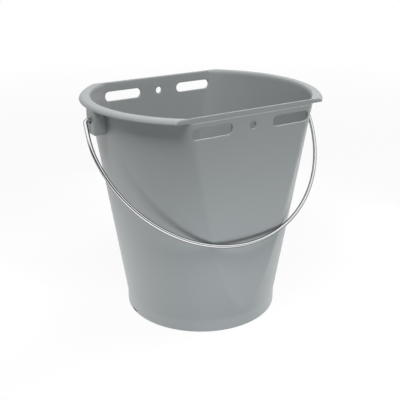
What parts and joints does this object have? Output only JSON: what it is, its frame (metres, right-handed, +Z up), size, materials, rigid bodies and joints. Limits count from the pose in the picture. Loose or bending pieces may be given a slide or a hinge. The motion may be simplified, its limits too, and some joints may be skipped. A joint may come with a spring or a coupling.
{
  "type": "calf feeder bucket",
  "caption": "Tapered grey plastic calf feeding bucket with flat sides pierced by hanging slots, a rim on its round ends and a hinged wire bail held in ears under the rim.",
  "frame": {"origin": "middle of the foot ring, in the plane that the bucket stands on", "axes": "+X from ear to ear, the front flat with the hanging bail towards -Y, +Z up"},
  "size_m": [0.3398, 0.237, 0.3],
  "materials": {
    "grey_plastic": "satin moulded polypropylene",
    "zinc_wire": "bright zinc-plated wire"
  },
  "bodies": {
    "pail": {"pail": "grey_plastic"},
    "bail": {"bail": "zinc_wire"}
  },
  "joints": [
    {"name": "bail_hinge", "type": "hinge", "parent": "pail", "child": "bail", "pos_m": [0, 0, 0.28323], "axis": [-1, 0, 0], "range_deg": [0, 285.4]}
  ]
}
